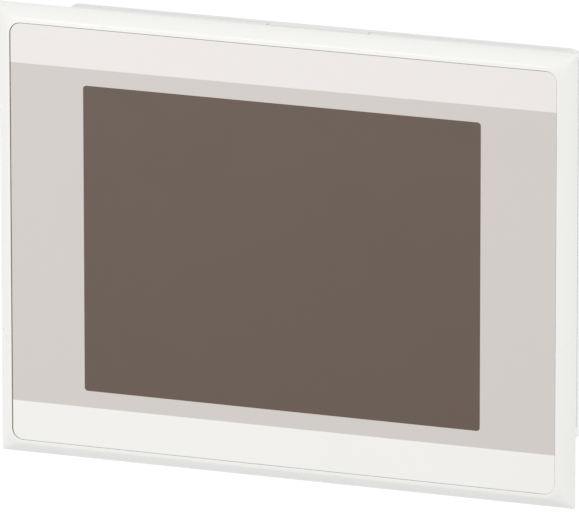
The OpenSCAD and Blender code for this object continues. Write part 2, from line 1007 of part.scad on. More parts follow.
module jack_screws() {
    color("#bfc1c3")
    for (s = [-1, 1])
        translate([serial_x + s * jack_spacing / 2, serial_y, 0])
            difference() {
                union() {
                    translate([0, 0, ceil_z - jack_len])
                        cylinder(d = jack_af / cos(30), h = jack_len, $fn = 6);
                    rod_z(0, 0, jack_r, ceil_z - 0.2, ceil_in + serial_flange_t + 2.5);
                }
                rod_z(0, 0, jack_r, ceil_z - jack_len - over, ceil_z - jack_len + jack_depth);
            }
}

// ---------- pluggable power terminal ----------

function pole_x(i) = power_x + (i - (poles + 1) / 2) * pole_pitch;

// A square bar along Z in the middle of the terminal's depth.
module pole_bar(x, side, z0, z1) {
    slab(x, side, span(power_y, side), [z0, z1]);
}

module power_header() {
    high = ceil_z + header_len;
    slot_t = nose_t + 2 * pass_gap;
    color("#3d8a4f")
    difference() {
        slab(power_x, header_w, [board_back, board_back + header_t], [ceil_z, high]);
        slab(power_x, nose_w + 2 * pass_gap, span(power_y, slot_t), [ceil_z - over, high - header_back]);
        for (i = [1 : poles])
            pole_bar(pole_x(i), pin_side, ceil_z, high + over);
    }
}

module header_pins() {
    tip = ceil_z + 2;
    high = ceil_z + header_len;
    color("#d8c27a")
    for (i = [1 : poles])
        union() {
            pole_bar(pole_x(i), pin_side, tip, high + pin_side);
            slab(pole_x(i), pin_side, [board_back, power_y], [high, high + pin_side]);
        }
}

module power_plug() {
    top_z = ceil_z - plug_gap;
    low_z = top_z - plug_len;
    nose_top = ceil_z + nose_len;
    y0 = power_y - plug_low;
    y1 = power_y + plug_high;
    cage_low = clamp_low - clamp_travel - pass_gap;
    cage_high = clamp_top + pass_gap;
    wire_top = power_y - bar_t / 2 - 0.2;
    color("#3f9152")
    difference() {
        union() {
            slab(power_x, plug_w, [y0, y1], [low_z, top_z]);
            slab(power_x, nose_w, span(power_y, nose_t), [top_z - 0.2, nose_top]);
        }
        for (i = [1 : poles]) {
            pole_bar(pole_x(i), tube_side, top_z - 0.2, nose_top + over);
            contact_bar(i);
            slab(pole_x(i), clamp_w + 2 * pass_gap, [cage_low, cage_high], span(clamp_mid, clamp_d + 2 * pass_gap));
            slab(pole_x(i), wire_w, [wire_top - wire_h, wire_top], [low_z - over, clamp_mid]);
            rod_y(pole_x(i), clamp_mid, screw_hole_r, cage_high - 0.1, y1 - 0.5);
            rod_y(pole_x(i), clamp_mid, lip_hole_r, y1 - over, y1 + over);
        }
    }
}

// The flat bar that each wire is clamped against.
module contact_bar(i) {
    top_z = ceil_z - plug_gap;
    slab(pole_x(i), bar_w, span(power_y, bar_t), [top_z - plug_len + 0.8, top_z]);
}

module plug_contacts() {
    nose_top = ceil_z + nose_len - 0.4;
    color("#c8a15a")
    for (i = [1 : poles])
        union() {
            difference() {
                pole_bar(pole_x(i), tube_side, ceil_z - plug_gap - 0.2, nose_top);
                pole_bar(pole_x(i), pin_side + 2 * slide_gap, ceil_z + 1, nose_top + over);
            }
            contact_bar(i);
        }
}

module terminal_screw(i) {
    tip = power_y + bar_t / 2 + slide_gap;
    color("#b9bcbe")
    translate([pole_x(i), 0, clamp_mid])
        difference() {
            union() {
                rod_y(0, 0, clamp_screw_r, tip, clamp_head_y + 0.1);
                rod_y(0, 0, clamp_head_r, clamp_head_y, clamp_head_y + clamp_head_t);
            }
            translate([0, clamp_head_y + clamp_head_t, 0])
                cube([2 * clamp_head_r + over, 1.4, 0.6], center = true);
        }
}

module terminal_screw_1() {
    terminal_screw(1);
}

module terminal_screw_2() {
    terminal_screw(2);
}

module terminal_screw_3() {
    terminal_screw(3);
}

module wire_clamp(i) {
    inside = [clamp_low + clamp_plate, clamp_top - clamp_plate];
    color("#cfd1d2")
        difference() {
            slab(pole_x(i), clamp_w, [clamp_low, clamp_top], span(clamp_mid, clamp_d));
            slab(pole_x(i), clamp_w - 2 * clamp_side, inside, span(clamp_mid, 2 * clamp_d));
            rod_y(pole_x(i), clamp_mid, clamp_screw_r + slide_gap, inside[1] - over, clamp_top + over);
        }
}

module wire_clamp_1() {
    wire_clamp(1);
}

module wire_clamp_2() {
    wire_clamp(2);
}

module wire_clamp_3() {
    wire_clamp(3);
}

// ---------- memory card, coin cell and reset ----------

module card_socket() {
    half = card_w / 2 + socket_rim;
    play = 0.1;
    color("#b7babd")
    difference() {
        block([card_in_x - 1.6, board_back, card_z - half], [board_x, board_back + socket_t, card_z + half]);
        block([card_in_x - 0.3, card_y - play, card_z - card_w / 2 - play],
              [board_x + over, card_y + card_t + play, card_z + card_w / 2 + play]);
        block([card_in_x + 6, card_y, card_z - 7], [board_x - 5, board_back + socket_t + over, card_z + 7]);
    }
}

module memory_card() {
    cut = 4;
    color("#26282c")
        along_y(card_y, card_y + card_t)
            translate([card_in_x, card_z - card_w / 2])
                polygon([[cut, 0], [card_len, 0], [card_len, card_w], [0, card_w], [0, cut]]);
}

module cell_holder() {
    y0 = board_back;
    color("#202022")
    difference() {
        rod_y(cell_at[0], cell_at[1], holder_r, y0, y0 + holder_base + coin_t - 0.4);
        rod_y(cell_at[0], cell_at[1], coin_r + 0.1, y0 + holder_base, y0 + 20);
        slab(cell_at[0], 8, [y0 + holder_base, y0 + 20], [cell_at[1] - 20, cell_at[1]]);
        slab(cell_at[0], 40, [y0 + holder_base, y0 + 20], [cell_at[1] - 3, cell_at[1] + 3]);
    }
}

module coin_cell() {
    y0 = board_back + holder_base;
    color("#c4c7c9")
    union() {
        rod_y(cell_at[0], cell_at[1], coin_r - 1.2, y0, y0 + 0.6);
        rod_y(cell_at[0], cell_at[1], coin_r, y0 + 0.5, y0 + coin_t);
    }
}

module cell_clip() {
    y1 = board_back + holder_base + coin_t;
    reach = holder_r + 0.6;
    color("#cdb66e")
    union() {
        block([cell_at[0] - reach, y1, cell_at[1] - 2.5], [cell_at[0] + reach, y1 + 0.3, cell_at[1] + 2.5]);
        for (s = [-1, 1])
            block([cell_at[0] + s * (reach - 0.15) - 0.15, board_back, cell_at[1] - 2.5],
                  [cell_at[0] + s * (reach - 0.15) + 0.15, y1 + 0.3, cell_at[1] + 2.5]);
    }
}

module reset_switch() {
    low = ceil_in + 0.4;
    color("#2a2a2c")
    difference() {
        slab(reset_x, switch_side, [board_back, board_back + switch_side], [low, low + switch_side]);
        rod_z(reset_x, reset_y, reset_r + slide_gap, low - over, reset_top + reset_travel + 0.4);
    }
}

module reset_button() {
    color("#c23b34")
        rod_z(reset_x, reset_y, reset_r, reset_low, reset_top);
}

// ---------- rear housing ----------

// The housing's shape in side view, drawn in Y and Z and drawn in by one value.
module side_outline(y0, inset) {
    low = inset - out_z;
    cheek = cheek_z + inset;
    slope = inset * 0.4;
    rear = body_depth - inset;
    top = out_z - inset;
    polygon([
        [y0, low], [bay_front - slope, low], [bay_front + cheek_lift - slope, cheek],
        [body_depth - chamfer_run, cheek], [rear, cheek + rear_chamfer - slope],
        [rear, top - rear_chamfer + slope], [body_depth - chamfer_run, top], [y0, top]
    ]);
}

// The housing's shape in plan, drawn in X and Y and drawn in by one value.
module plan_outline(y0, inset) {
    side = out_x - inset;
    slope = inset * 0.4;
    rear = body_depth - inset;
    tip = side - rear_chamfer + slope;
    polygon([
        [-side, y0], [side, y0], [side, body_depth - chamfer_run], [tip, rear],
        [-tip, rear], [-side, body_depth - chamfer_run]
    ]);
}

// The whole outline as a solid.
module housing_block(y0, inset, r) {
    intersection() {
        along_y(y0, body_depth)
            round_rect(2 * (out_x - inset), 2 * (out_z - inset), r);
        along_x(-out_x - over, out_x + over)
            side_outline(y0 - over, inset);
        translate([0, 0, -out_z - over])
            linear_extrude(2 * (out_z + over))
                plan_outline(y0 - over, inset);
    }
}

// The line round the housing, with its jog at the middle of the top.
module seam_cut() {
    y0 = seam_y - seam_w / 2;
    difference() {
        along_y(y0, y0 + seam_w)
            difference() {
                square([2 * out_x + 4, 2 * out_z + 4], center = true);
                round_rect(2 * (out_x - seam_d), 2 * (out_z - seam_d), body_r);
            }
        block([-tab_w / 2, y0 - over, 0], [tab_w / 2, y0 + 2, out_z + 4]);
        block([-out_x - 4, y0 - over, -out_z - 4], [out_x + 4, y0 + 2, cheek_z + 3]);
    }
    block([-tab_w / 2, y0 - tab_step, out_z - seam_d], [tab_w / 2, y0 - tab_step + seam_w, out_z + over]);
    for (s = [-1, 1])
        slab(s * tab_w / 2, seam_w, [y0 - tab_step, y0 + seam_w], [out_z - seam_d, out_z + over]);
}

// One square hole through the recess's ceiling, with play all round the socket.
module port_cut(x, w, y0, t) {
    slab(x, w + 2 * port_gap, [y0 - port_gap, y0 + t + port_gap], [ceil_z - over, ceil_in + over]);
}

// The holes that the sockets and the reset button come through.
module port_cuts() {
    z0 = ceil_z - over;
    z1 = ceil_in + over;
    port_cut(power_x, header_w, board_back, header_t);
    port_cut(network_x, network_w, board_back, network_t);
    port_cut(device_x, device_w, board_back, device_t);
    port_cut(host_x, host_w, board_back + host_lift, host_t);
    along_serial(z0, z1)
        d_outline(port_gap);
    for (s = [-1, 1])
        jack_hole(s, jack_r + 0.15, z0, z1);
    rod_z(reset_x, reset_y, reset_r + pass_gap, z0, z1);
}

// The slots for the air and for the fastening clamps.
module wall_cuts() {
    top_count = floor((out_x - 22) / vent_pitch);
    rear_count = 8;
    rear_low = plate_h / 2 + 5;
    for (i = [-top_count : top_count])
        slab(i * vent_pitch, vent_w, [bay_front - 1, bay_front + 8], [in_z - over, out_z + over]);
    for (i = [-rear_count : rear_count], z = [plate_z + rear_low, plate_z - rear_low - vent_len])
        slab(i * vent_pitch, vent_w, [rear_in - over, body_depth + over], [z, z + vent_len]);
    for (s = [-1, 1], z = [-bracket_z, bracket_z])
        block([s > 0 ? in_x - over : -out_x - over, bracket_y, z - bracket_len / 2],
              [s > 0 ? out_x + over : over - in_x, bracket_y + bracket_slot, z + bracket_len / 2]);
}

module card_cut() {
    block([in_x - over, card_y - pass_gap, card_z - card_w / 2 - pass_gap],
          [out_x + over, card_y + card_t + pass_gap, card_z + card_w / 2 + pass_gap]);
}

module rear_housing() {
    color("#eeedea")
    difference() {
        union() {
            difference() {
                housing_block(collar_len, 0, body_r);
                difference() {
                    housing_block(collar_len - over, wall, in_r);
                    block([-bay_x - wall, bay_front - wall, -out_z], [bay_x + wall, body_depth, ceil_in]);
                }
            }
            along_y(collar_len - lip_len, collar_len + 0.5)
                round_ring(2 * (in_x - lip_gap), 2 * (in_z - lip_gap), in_r, lip_t);
            lip_root();
            for (p = post_spots)
                rod_y(p[0], p[1], rear_boss_r, post_end, rear_in + 0.5);
        }
        block([-bay_x, bay_front, -out_z - over], [bay_x, body_depth + over, ceil_z]);
        for (p = post_spots) {
            rod_y(p[0], p[1], rear_screw_r + 0.2, post_end - over, screw_seat_y + over);
            rod_y(p[0], p[1], rear_recess_r, screw_seat_y, body_depth + over);
        }
        seam_cut();
        port_cuts();
        wall_cuts();
        card_cut();
        slab(0, plate_w, [body_depth - plate_recess, body_depth + over], span(plate_z, plate_h));
    }
}

// The root that joins the locating lip to the housing's wall.
module lip_root() {
    along_y(collar_len, collar_len + 1)
        round_ring(2 * in_x + 0.4, 2 * in_z + 0.4, in_r, lip_t + lip_gap + 0.2);
}

module rear_screws() {
    color("#9fa2a4")
    for (p = post_spots)
        screw_y(p[0], p[1], rear_screw_r, screw_seat_y, rear_screw_len, rear_head_r, rear_head_t);
}

module rating_plate() {
    y0 = body_depth - plate_recess;
    half = plate_h / 2 - plate_gap;
    color("#c9cccd")
        slab(0, plate_w - 2 * plate_gap, [y0, y0 + plate_t], span(plate_z, 2 * half));
}

front_frame();
front_film();
film_adhesive();
touch_film();
touch_glass();
touch_flex();
dust_gasket();
panel_gasket();
lcd_bezel();
lcd_cell();
diffuser_sheet();
light_guide();
led_bar();
lcd_tray();
lcd_flex();
backlight_lead();
carrier_plate();
carrier_screws();
board_spacers();
main_board();
board_screws();
flex_sockets();
processor();
heat_sink();
memory_chips();
interface_chips();
power_parts();
network_shell();
network_insert();
usb_host_shell();
usb_host_tongue();
usb_device_shell();
usb_device_tongue();
serial_shell();
serial_insert();
jack_screws();
power_header();
header_pins();
power_plug();
plug_contacts();
terminal_screw_1();
terminal_screw_2();
terminal_screw_3();
wire_clamp_1();
wire_clamp_2();
wire_clamp_3();
card_socket();
memory_card();
cell_holder();
coin_cell();
cell_clip();
reset_switch();
reset_button();
rear_housing();
rear_screws();
rating_plate();
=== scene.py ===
import math

import bmesh
import bpy
from mathutils import Matrix, Vector


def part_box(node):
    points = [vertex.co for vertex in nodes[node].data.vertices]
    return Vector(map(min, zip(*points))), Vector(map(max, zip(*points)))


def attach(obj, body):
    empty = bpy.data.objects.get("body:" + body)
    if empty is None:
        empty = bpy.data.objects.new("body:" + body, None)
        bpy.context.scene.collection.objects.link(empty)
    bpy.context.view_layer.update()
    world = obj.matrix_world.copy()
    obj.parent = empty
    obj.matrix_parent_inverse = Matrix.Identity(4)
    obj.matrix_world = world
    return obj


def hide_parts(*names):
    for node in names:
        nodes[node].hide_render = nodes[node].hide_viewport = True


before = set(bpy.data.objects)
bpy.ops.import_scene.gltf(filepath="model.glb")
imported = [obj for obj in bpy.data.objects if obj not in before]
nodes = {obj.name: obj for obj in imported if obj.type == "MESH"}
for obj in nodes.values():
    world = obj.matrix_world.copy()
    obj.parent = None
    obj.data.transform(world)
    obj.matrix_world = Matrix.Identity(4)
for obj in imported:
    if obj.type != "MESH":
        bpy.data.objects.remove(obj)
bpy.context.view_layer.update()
mm = 0.001


# ---------------------------------------------------------------- front frame
# The front is one white moulding: a border that slopes away from the film with mitred
# corners, a shallow seat whose floor is painted dark as painted shade for the gap round the
# film, and behind it a collar, posts and bosses.
# It comes from a spark-eroded tool, so every face has a fine even grain.

def new_group(name, inputs, output):
    """An empty node group with a vector input, named number inputs and one number out."""
    group = bpy.data.node_groups.new(name, "ShaderNodeTree")
    group.interface.new_socket("Vector", in_out="INPUT", socket_type="NodeSocketVector")
    for label, value in inputs.items():
        socket = group.interface.new_socket(label, in_out="INPUT", socket_type="NodeSocketFloat")
        socket.default_value = value
    group.interface.new_socket(output, in_out="OUTPUT", socket_type="NodeSocketFloat")
    return group, group.nodes.new("NodeGroupInput"), group.nodes.new("NodeGroupOutput")


def math_node(tree, operation, first, second):
    """One sum on two values, each a socket or a number."""
    node = tree.nodes.new("ShaderNodeMath")
    node.operation = operation
    for socket, value in zip(node.inputs, (first, second)):
        if isinstance(value, (int, float)):
            socket.default_value = value
        else:
            tree.links.new(value, socket)
    return node.outputs["Value"]


def noise_node(tree, vector, scale, detail, roughness=0.5):
    """A noise over a vector; the scale is a socket or a number."""
    node = tree.nodes.new("ShaderNodeTexNoise")
    node.inputs["Detail"].default_value = detail
    node.inputs["Roughness"].default_value = roughness
    tree.links.new(vector, node.inputs["Vector"])
    if isinstance(scale, (int, float)):
        node.inputs["Scale"].default_value = scale
    else:
        tree.links.new(scale, node.inputs["Scale"])
    return node.outputs["Fac"]


def build_drift():
    """Slow cloudy change from one value to another, for tone and gloss."""
    group, given, out = new_group("slow_drift", {"Scale": 20.0, "Low": 0.0, "High": 1.0}, "Value")
    clouds = noise_node(group, given.outputs["Vector"], given.outputs["Scale"], 4.0, 0.6)
    spread = group.nodes.new("ShaderNodeMapRange")
    spread.inputs["From Min"].default_value = 0.3
    spread.inputs["From Max"].default_value = 0.7
    group.links.new(clouds, spread.inputs["Value"])
    group.links.new(given.outputs["Low"], spread.inputs["To Min"])
    group.links.new(given.outputs["High"], spread.inputs["To Max"])
    group.links.new(spread.outputs["Result"], out.inputs["Value"])


def build_grain():
    """The fine pitted relief of a spark-eroded or sand-blasted tool."""
    group, given, out = new_group("eroded_grain", {"Scale": 3000.0}, "Height")
    pits = group.nodes.new("ShaderNodeTexVoronoi")
    pits.feature = "SMOOTH_F1"
    group.links.new(given.outputs["Vector"], pits.inputs["Vector"])
    group.links.new(given.outputs["Scale"], pits.inputs["Scale"])
    fine = noise_node(group, given.outputs["Vector"], given.outputs["Scale"], 2.0)
    height = math_node(group, "ADD", pits.outputs["Distance"], fine)
    group.links.new(height, out.inputs["Height"])


def build_rub():
    """How strongly an arris is rubbed: one on edges and corners, nothing on open faces."""
    group, given, out = new_group("rubbed_edge", {"Radius": 0.0004, "Strength": 1.0}, "Mask")
    eased = group.nodes.new("ShaderNodeBevel")
    eased.samples = 4
    group.links.new(given.outputs["Radius"], eased.inputs["Radius"])
    face = group.nodes.new("ShaderNodeNewGeometry")
    cosine = group.nodes.new("ShaderNodeVectorMath")
    cosine.operation = "DOT_PRODUCT"
    group.links.new(eased.outputs["Normal"], cosine.inputs[0])
    group.links.new(face.outputs["Normal"], cosine.inputs[1])
    edge = math_node(group, "SUBTRACT", 1.0, cosine.outputs["Value"])
    patchy = noise_node(group, given.outputs["Vector"], 900.0, 3.0)
    worn = math_node(group, "MULTIPLY", edge, patchy)
    strong = math_node(group, "MULTIPLY", worn, given.outputs["Strength"])
    clamped = math_node(group, "MINIMUM", strong, 1.0)
    group.links.new(clamped, out.inputs["Mask"])


build_drift()
build_grain()
build_rub()


def place(tree, group, **values):
    """Puts a shared group in a material, on Object coordinates, with its own values."""
    where = tree.nodes.get("where") or tree.nodes.new("ShaderNodeTexCoord")
    where.name = "where"
    node = tree.nodes.new("ShaderNodeGroup")
    node.node_tree = bpy.data.node_groups[group]
    tree.links.new(where.outputs["Object"], node.inputs["Vector"])
    for label, value in values.items():
        node.inputs[label].default_value = value
    return node.outputs[0]


def new_finish(name, roughness, drift=0.06, metallic=0.0):
    """A material whose gloss wanders a little; its colour and relief are added after."""
    material = bpy.data.materials.new(name)
    material.use_nodes = True
    tree = material.node_tree
    shader = tree.nodes["Principled BSDF"]
    shader.inputs["Metallic"].default_value = metallic
    gloss = place(tree, "slow_drift", Scale=45.0, Low=roughness - drift, High=roughness + drift)
    tree.links.new(gloss, shader.inputs["Roughness"])
    return material, tree, shader


def mix_colours(tree, factor, low, high):
    """A colour between two, each a colour or a socket, by a factor."""
    mix = tree.nodes.new("ShaderNodeMix")
    mix.data_type = "RGBA"
    tree.links.new(factor, mix.inputs["Factor"])
    for socket, value in ((mix.inputs["A"], low), (mix.inputs["B"], high)):
        if isinstance(value, tuple):
            socket.default_value = (*value, 1.0)
        else:
            tree.links.new(value, socket)
    return mix.outputs["Result"]


def shade_of(colour, share):
    """The same colour, lighter or darker."""
    return tuple(min(1.0, channel * share) for channel in colour)


def tint(tree, shader, colour, change=0.03, rub=0.0):
    """Paints a colour that drifts slightly and, where asked, is paler on rubbed edges."""
    drift = place(tree, "slow_drift", Scale=18.0)
    paint = mix_colours(tree, drift, shade_of(colour, 1 - change), shade_of(colour, 1 + change))
    if rub:
        worn = place(tree, "rubbed_edge", Strength=rub)
        paint = mix_colours(tree, worn, paint, shade_of(colour, 1.35))
    tree.links.new(paint, shader.inputs["Base Color"])


def relief(tree, shader, height, distance, strength=1.0):
    """Turns a height into the shader's normal."""
    bump = tree.nodes.new("ShaderNodeBump")
    bump.inputs["Strength"].default_value = strength
    bump.inputs["Distance"].default_value = distance
    tree.links.new(height, bump.inputs["Height"])
    tree.links.new(bump.outputs["Normal"], shader.inputs["Normal"])


def moulded_plastic(name, colour, roughness, grain=3000.0, depth=0.00001, change=0.02, rub=0.0):
    """Moulded plastic with the grain of its tool."""
    material, tree, shader = new_finish(name, roughness)
    tint(tree, shader, colour, change, rub)
    relief(tree, shader, place(tree, "eroded_grain", Scale=grain), depth)
    return material


white_moulding = moulded_plastic("white_moulding", (0.83, 0.825, 0.805), 0.3,
                                 grain=2600.0, depth=0.000005, change=0.006)
# The seat floor's dark finish is painted shade: it darkens the narrow gap round the film.
seat_painted_shade = moulded_plastic("seat_painted_shade", (0.10, 0.09, 0.085), 0.6, grain=2600.0, depth=0.000006)
corner_steps = 10


def ring(bm, half_x, half_z, y, radius):
    """The outline of a round-cornered rectangle standing at one depth, as loose edges."""
    known = set(bm.faces)
    turn = Matrix.Rotation(math.pi / 2, 4, "X")
    lay = Matrix.Translation((0, y, 0)) @ turn @ Matrix.Diagonal((half_x, half_z, 1, 1))
    bmesh.ops.create_grid(bm, x_segments=1, y_segments=1, size=1, matrix=lay)
    plate = (set(bm.faces) - known).pop()
    bmesh.ops.bevel(bm, geom=plate.verts[:], offset=radius, affect="VERTICES",
                    segments=corner_steps, profile=0.5, material=-1)
    plate = (set(bm.faces) - known).pop()
    edges = plate.edges[:]
    bmesh.ops.delete(bm, geom=[plate], context="FACES_ONLY")
    return edges


def skin(bm, rings):
    """Joins each ring to the next one."""
    for near, far in zip(rings, rings[1:]):
        bmesh.ops.bridge_loops(bm, edges=near + far)


def flat_ring(bm, near, far):
    """Fills the flat face between two rings that stand at one depth."""
    bmesh.ops.triangle_fill(bm, edges=near + far, use_beauty=True, normal=(0, 1, 0))


def add_piece(name, bm, body, slot, *materials, sharp=30):
    """Makes a finished bmesh a piece of the object that rides on one body."""
    bm.normal_update()
    for face in bm.faces:
        face.smooth = True
    for edge in bm.edges:
        edge.smooth = edge.calc_face_angle(0) < math.radians(sharp)
    mesh = bpy.data.meshes.new(name)
    bm.to_mesh(mesh)
    bm.free()
    for material in materials:
        mesh.materials.append(material)
    piece = bpy.data.objects.new(name, mesh)
    bpy.context.scene.collection.objects.link(piece)
    flat = piece.modifiers.new("flat_faces", "WEIGHTED_NORMAL")
    flat.keep_sharp = True
    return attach(piece, body)


post_sides = 40
bore_share = 0.75


def post(bm, x, z, near, far, radius, bore):
    """A round post along Y with a blind screw hole in its far end."""
    depth, middle = far - near, (near + far) / 2
    lay = Matrix.Translation((x, middle, z)) @ Matrix.Rotation(-math.pi / 2, 4, "X")
    made = bmesh.ops.create_cone(bm, cap_ends=True, cap_tris=False, segments=post_sides,
                                 radius1=radius, radius2=radius, depth=depth, matrix=lay)
    caps = [f for v in made["verts"] for f in v.link_faces
            if len(f.verts) > 4 and f.calc_center_median().y > middle]
    bmesh.ops.inset_individual(bm, faces=caps[:1], thickness=radius - bore)
    grown = bmesh.ops.extrude_discrete_faces(bm, faces=caps[:1])
    floor = grown["faces"][0]
    bmesh.ops.translate(bm, verts=floor.verts[:], vec=(0, -bore_share * depth, 0))


frame_low, frame_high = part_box("front_frame")
film_low, film_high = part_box("front_film")
glass_low, glass_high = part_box("touch_glass")
gasket_low, gasket_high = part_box("panel_gasket")
edge_r = 0.3 * mm
crest_r = 4.1 * mm
recess_r = 3.2 * mm
gap_beside, gap_above = 0.19 * mm, 0.12 * mm
rim_flat = 0.88 * mm
edge_y = -0.9 * mm
flange_y = -0.5 * mm
seat_y = glass_low.y - 0.2 * mm
slope_steps = 14
slope_bulge = 0.45 * mm
radius_growth = 1.6
recess_x = film_high.x + gap_beside
recess_z = film_high.z + gap_above
crest_inset = frame_high.x - recess_x - rim_flat
arris = 0.08 * mm
same_level = 0.01 * mm
glass_gap, opening_r = 0.15 * mm, 0.5 * mm
opening_x, opening_z = glass_high.x + glass_gap, glass_high.z + glass_gap
cavity_x, cavity_z, cavity_r = 74 * mm, 56.2 * mm, 1 * mm
collar_x, collar_z, collar_r = 78.2 * mm, 58.2 * mm, 3.5 * mm
collar_y, collar_arris = 6 * mm, 0.2 * mm
gasket_w = 3 * mm
groove_x, groove_z = gasket_high.x - gasket_w, gasket_high.z - gasket_w
groove_in_r, groove_out_r = 0.5 * mm, 2 * mm
post_sunk = 0.6 * mm
post_foot = glass_high.y - post_sunk
post_x, post_high, post_low = 69.2 * mm, 48 * mm, -46 * mm
post_r, post_bore = 3.2 * mm, 1.52 * mm
boss_z, boss_far, boss_r, boss_bore = 22 * mm, 6.4 * mm, 3 * mm, 1.27 * mm


def border_ring(bm, inset, y, radius):
    """A ring set in from the frame's outer edge by one distance all round."""
    return ring(bm, frame_high.x - inset, frame_high.z - inset, y, radius)


def slope_rings(bm):
    """The rings of the sloping border, from the sharp outer edge to the round crest."""
    rings = []
    for step in range(slope_steps + 1):
        t = step / slope_steps
        swell = slope_bulge * 4 * t * (1 - t)
        run, rise = crest_inset, film_low.y - edge_y
        chord = math.hypot(run, rise)
        inset = run * t + swell * rise / chord
        y = edge_y + rise * t - swell * run / chord
        radius = edge_r + (crest_r - edge_r) * t ** radius_growth
        rings.append(border_ring(bm, max(inset, 0.0), y, radius))
    return rings


bm = bmesh.new()
border = [border_ring(bm, 0, flange_y, edge_r)]
border += slope_rings(bm)
border += [
    ring(bm, recess_x + arris, recess_z + arris, film_low.y, recess_r + arris),
    ring(bm, recess_x, recess_z, film_low.y + arris, recess_r),
    ring(bm, recess_x, recess_z, seat_y, recess_r),
]
opening = [ring(bm, opening_x, opening_z, y, opening_r) for y in (seat_y, glass_high.y)]
cavity = [ring(bm, cavity_x, cavity_z, y, cavity_r) for y in (glass_high.y, collar_y)]
collar = [
    ring(bm, collar_x - collar_arris, collar_z - collar_arris, collar_y, collar_r - collar_arris),
    ring(bm, collar_x, collar_z, collar_y - collar_arris, collar_r),
    ring(bm, collar_x, collar_z, flange_y, collar_r),
]
groove_in = [ring(bm, groove_x, groove_z, y, groove_in_r) for y in (flange_y, gasket_low.y)]
groove_out = [ring(bm, gasket_high.x, gasket_high.z, y, groove_out_r)
              for y in (gasket_low.y, flange_y)]
walls = [border, opening, cavity, collar, groove_in, groove_out]
for wall in walls:
    skin(bm, wall)
for before, after in zip(walls, walls[1:] + walls[:1]):
    flat_ring(bm, before[-1], after[0])
# Faces on the seat floor take the dark finish, painted shade for the gap round the film.
for face in bm.faces:
    on_seat = all(abs(v.co.y - seat_y) < same_level for v in face.verts)
    face.material_index = int(on_seat)
bmesh.ops.recalc_face_normals(bm, faces=bm.faces)
for x in (-post_x, post_x):
    for z in (post_low, post_high):
        post(bm, x, z, post_foot, frame_high.y, post_r, post_bore)
    for z in (-boss_z, boss_z):
        post(bm, x, z, post_foot, boss_far, boss_r, boss_bore)
front_frame = add_piece("front_moulding", bm, "case", "white_moulding", white_moulding, seat_painted_shade)
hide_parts("front_frame")


# ---------------------------------------------------------------- front film
# A polyester sheet with a fine satin hard coat, printed on its back: a pale band along the
# top and the bottom, a warm grey field between them and a dark tinted window over the
# display. The bottom band is the same print as the top one, painted lighter and whiter as
# painted light. Its adhesive holds it in the seat of the frame, a little nearer the right side.

def printed_film(name, colour, roughness=0.42):
    """The hard-coated sheet over one area of the print."""
    material, tree, shader = new_finish(name, roughness, 0.03)
    tint(tree, shader, colour, 0.006)
    sparkle = place(tree, "eroded_grain", Scale=6000.0)
    relief(tree, shader, sparkle, 0.000002, 0.5)
    return material


pale_band = printed_film("film_pale_band", (0.79, 0.755, 0.735))
# The same print as the top band, painted lighter and whiter: painted light on the lower band.
lit_low_band = printed_film("film_lit_low_band", (0.835, 0.825, 0.80))
grey_field = printed_film("film_grey_field", (0.60, 0.56, 0.53))
dark_window = printed_film("film_window", (0.094, 0.060, 0.043), 0.38)
window_x, window_z = 58.5 * mm, 44.1 * mm
window_r = 1 * mm
band_z = 48.9 * mm
film_r = 3 * mm
film_arris = 0.04 * mm
film_shift = 0.15 * mm

bm = bmesh.new()
sheet_back = ring(bm, film_high.x, film_high.z, film_high.y, film_r)
sheet_side = ring(bm, film_high.x, film_high.z, film_low.y + film_arris, film_r)
sheet_edge = ring(bm, film_high.x - film_arris, film_high.z - film_arris, film_low.y,
                  film_r - film_arris)
window_edge = ring(bm, window_x, window_z, film_low.y, window_r)
skin(bm, [sheet_back, sheet_side, sheet_edge, window_edge])
outline = {v for edge in sheet_back + sheet_side + sheet_edge for v in edge.verts}
bmesh.ops.translate(bm, verts=list(outline), vec=(film_shift, 0, 0))
bmesh.ops.edgeloop_fill(bm, edges=window_edge)
bmesh.ops.edgeloop_fill(bm, edges=sheet_back)
for z in (-band_z, band_z):
    bmesh.ops.bisect_plane(bm, geom=bm.verts[:] + bm.edges[:] + bm.faces[:],
                           plane_co=(0, 0, z), plane_no=(0, 0, 1))
bmesh.ops.recalc_face_normals(bm, faces=bm.faces)
for face in bm.faces:
    centre = face.calc_center_median()
    if all(abs(v.co.x) <= window_x + film_arris and abs(v.co.z) <= window_z + film_arris
           for v in face.verts):
        face.material_index = 2
    elif abs(centre.z) < band_z:
        face.material_index = 1
    # The lower band's faces take its lighter copy, painted light.
    elif centre.z < 0:
        face.material_index = 3
front_film = add_piece("front_sheet", bm, "case", "front_sheet",
                       pale_band, grey_field, dark_window, lit_low_band)
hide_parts("front_film")


# ---------------------------------------------------------------- adhesive and touch sensor
# A die-cut sheet of clear tape holds the film. Behind it lies the touch sensor: a thin
# conductive film over float glass, read out by a copper-tracked ribbon that turns round
# the glass and runs back to the main board.

def dress(material, *names):
    """Gives CAD parts that keep their shape their finish."""
    for name in names:
        mesh = nodes[name].data
        mesh.materials.clear()
        mesh.materials.append(material)
        for face in mesh.polygons:
            face.material_index = 0


def clear_sheet(name, colour, roughness, clearness):
    """Clear film, tape or glass with a faint haze that wanders."""
    material, tree, shader = new_finish(name, roughness, 0.02)
    tint(tree, shader, colour, 0.01)
    shader.inputs["Transmission Weight"].default_value = clearness
    relief(tree, shader, place(tree, "slow_drift", Scale=60.0), 0.000004)
    return material


def build_stripes(axis):
    """Even stripes across one axis: one on a stripe and nothing between."""
    group, given, out = new_group(f"stripes_{axis}", {"Pitch": 0.001, "Share": 0.5}, "Mask")
    split = group.nodes.new("ShaderNodeSeparateXYZ")
    group.links.new(given.outputs["Vector"], split.inputs["Vector"])
    turns = math_node(group, "DIVIDE", split.outputs[axis], given.outputs["Pitch"])
    part = math_node(group, "FRACT", turns, 0.0)
    on = math_node(group, "LESS_THAN", part, given.outputs["Share"])
    group.links.new(on, out.inputs["Mask"])


build_stripes("X")
build_stripes("Z")


